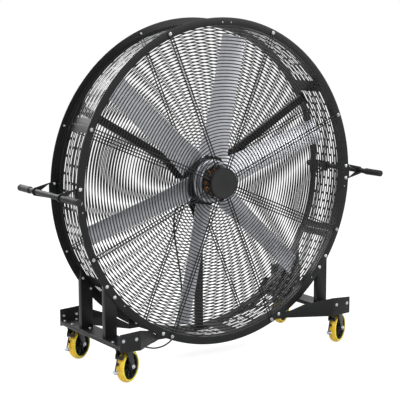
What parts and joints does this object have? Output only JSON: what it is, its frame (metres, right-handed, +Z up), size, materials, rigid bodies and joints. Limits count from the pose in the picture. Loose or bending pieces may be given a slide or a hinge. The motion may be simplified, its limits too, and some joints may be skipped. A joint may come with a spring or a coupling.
{
  "type": "drum fan",
  "caption": "Large drum fan in an angle-ring drum with wire grilles, on a low stand with swivel casters and side push handles.",
  "frame": {"origin": "on the floor, under the middle of the drum", "axes": "+Z up; +Y along the fan axis from the front grille to the rear grille, the air leaves towards -Y; +X to the right as seen from the front"},
  "size_m": [1.8738, 0.633, 1.7477],
  "materials": {
    "black_paint": "satin powder coat",
    "wire": "satin powder coat",
    "cap": "matt",
    "blade": "mill finish, slightly brushed",
    "hub_cast": "matt",
    "hub_metal": "turned",
    "steel": "ground",
    "zinc": "zinc plated",
    "laminations": "oiled",
    "windings": "enamelled copper wire",
    "magnet": "nickel plated",
    "grip": "matt",
    "tyre": "cast polyurethane",
    "core": "painted",
    "pedal": "pressed",
    "box_plastic": "matt",
    "switch_plastic": "gloss",
    "cable": "matt"
  },
  "bodies": {
    "frame": {"beams_left": "black_paint", "beams_right": "black_paint", "caster_plates": "zinc", "control_box": "black_paint", "control_lid": "black_paint", "drum_panels": "black_paint", "frame_bolts": "zinc", "front_cap": "cap", "front_grille_rings": "wire", "front_grille_spokes": "wire", "front_ring": "black_paint", "handle_brackets": "black_paint", "handle_grips": "grip", "handle_tubes": "black_paint", "motor_bearings": "steel", "motor_lead": "cable", "motor_mount": "steel", "motor_shaft": "steel", "platform_left": "black_paint", "platform_right": "black_paint", "posts_left": "black_paint", "posts_right": "black_paint", "rear_cap": "cap", "rear_grille_rings": "wire", "rear_grille_spokes": "wire", "rear_ring": "black_paint", "stator_coils": "windings", "stator_core": "laminations", "struts": "black_paint"},
    "rotor": {"blade_1": "blade", "blade_2": "blade", "blade_3": "blade", "blade_4": "blade", "blade_5": "blade", "blade_6": "blade", "blade_roots": "hub_cast", "hub_drum": "hub_cast", "hub_plate": "hub_metal", "rotor_bell": "hub_metal", "rotor_magnets": "magnet"},
    "swivel_front_left": {"caster_fork_front_left": "core"},
    "wheel_front_left": {"caster_tyre_front_left": "tyre", "caster_core_front_left": "core"},
    "brake_front_left": {"brake_pedal_front_left": "pedal"},
    "swivel_rear_left": {"caster_fork_rear_left": "core"},
    "wheel_rear_left": {"caster_tyre_rear_left": "tyre", "caster_core_rear_left": "core"},
    "brake_rear_left": {"brake_pedal_rear_left": "pedal"},
    "swivel_front_right": {"caster_fork_front_right": "core"},
    "wheel_front_right": {"caster_tyre_front_right": "tyre", "caster_core_front_right": "core"},
    "brake_front_right": {"brake_pedal_front_right": "pedal"},
    "swivel_rear_right": {"caster_fork_rear_right": "core"},
    "wheel_rear_right": {"caster_tyre_rear_right": "tyre", "caster_core_rear_right": "core"},
    "brake_rear_right": {"brake_pedal_rear_right": "pedal"},
    "knob": {"speed_knob": "box_plastic"},
    "switch": {"power_switch": "switch_plastic"}
  },
  "joints": [
    {"name": "fan_spin", "type": "hinge", "parent": "frame", "child": "rotor", "pos_m": [0, 0, 0.913], "axis": [0, 1, 0], "continuous": true},
    {"name": "swivel_turn_front_left", "type": "hinge", "parent": "frame", "child": "swivel_front_left", "pos_m": [-0.658, -0.249, 0.185], "axis": [0, 0, 1], "continuous": true},
    {"name": "wheel_roll_front_left", "type": "hinge", "parent": "swivel_front_left", "child": "wheel_front_left", "pos_m": [-0.62445, -0.23116, 0.08], "axis": [-0.4695, 0.8829, 0], "continuous": true},
    {"name": "brake_press_front_left", "type": "hinge", "parent": "swivel_front_left", "child": "brake_front_left", "pos_m": [-0.69111, -0.2666, 0.139], "axis": [-0.4695, 0.8829, 0], "range_deg": [-7, 0]},
    {"name": "swivel_turn_rear_left", "type": "hinge", "parent": "frame", "child": "swivel_rear_left", "pos_m": [-0.658, 0.249, 0.185], "axis": [0, 0, 1], "continuous": true},
    {"name": "wheel_roll_rear_left", "type": "hinge", "parent": "swivel_rear_left", "child": "wheel_rear_left", "pos_m": [-0.62445, 0.26684, 0.08], "axis": [-0.4695, 0.8829, 0], "continuous": true},
    {"name": "brake_press_rear_left", "type": "hinge", "parent": "swivel_rear_left", "child": "brake_rear_left", "pos_m": [-0.69111, 0.23139, 0.139], "axis": [-0.4695, 0.8829, 0], "range_deg": [-7, 0]},
    {"name": "swivel_turn_front_right", "type": "hinge", "parent": "frame", "child": "swivel_front_right", "pos_m": [0.658, -0.249, 0.185], "axis": [0, 0, 1], "continuous": true},
    {"name": "wheel_roll_front_right", "type": "hinge", "parent": "swivel_front_right", "child": "wheel_front_right", "pos_m": [0.69155, -0.23116, 0.08], "axis": [-0.4695, 0.8829, 0], "continuous": true},
    {"name": "brake_press_front_right", "type": "hinge", "parent": "swivel_front_right", "child": "brake_front_right", "pos_m": [0.62489, -0.2666, 0.139], "axis": [-0.4695, 0.8829, 0], "range_deg": [-7, 0]},
    {"name": "swivel_turn_rear_right", "type": "hinge", "parent": "frame", "child": "swivel_rear_right", "pos_m": [0.658, 0.249, 0.185], "axis": [0, 0, 1], "continuous": true},
    {"name": "wheel_roll_rear_right", "type": "hinge", "parent": "swivel_rear_right", "child": "wheel_rear_right", "pos_m": [0.69155, 0.26684, 0.08], "axis": [-0.4695, 0.8829, 0], "continuous": true},
    {"name": "brake_press_rear_right", "type": "hinge", "parent": "swivel_rear_right", "child": "brake_rear_right", "pos_m": [0.62489, 0.23139, 0.139], "axis": [-0.4695, 0.8829, 0], "range_deg": [-7, 0]},
    {"name": "knob_turn", "type": "hinge", "parent": "frame", "child": "knob", "pos_m": [0.66, 0.225, 0.314], "axis": [0, 1, 0], "range_deg": [0, 270]},
    {"name": "switch_rock", "type": "hinge", "parent": "frame", "child": "switch", "pos_m": [0.66, 0.225, 0.254], "axis": [1, 0, 0], "range_deg": [0, 10]}
  ]
}
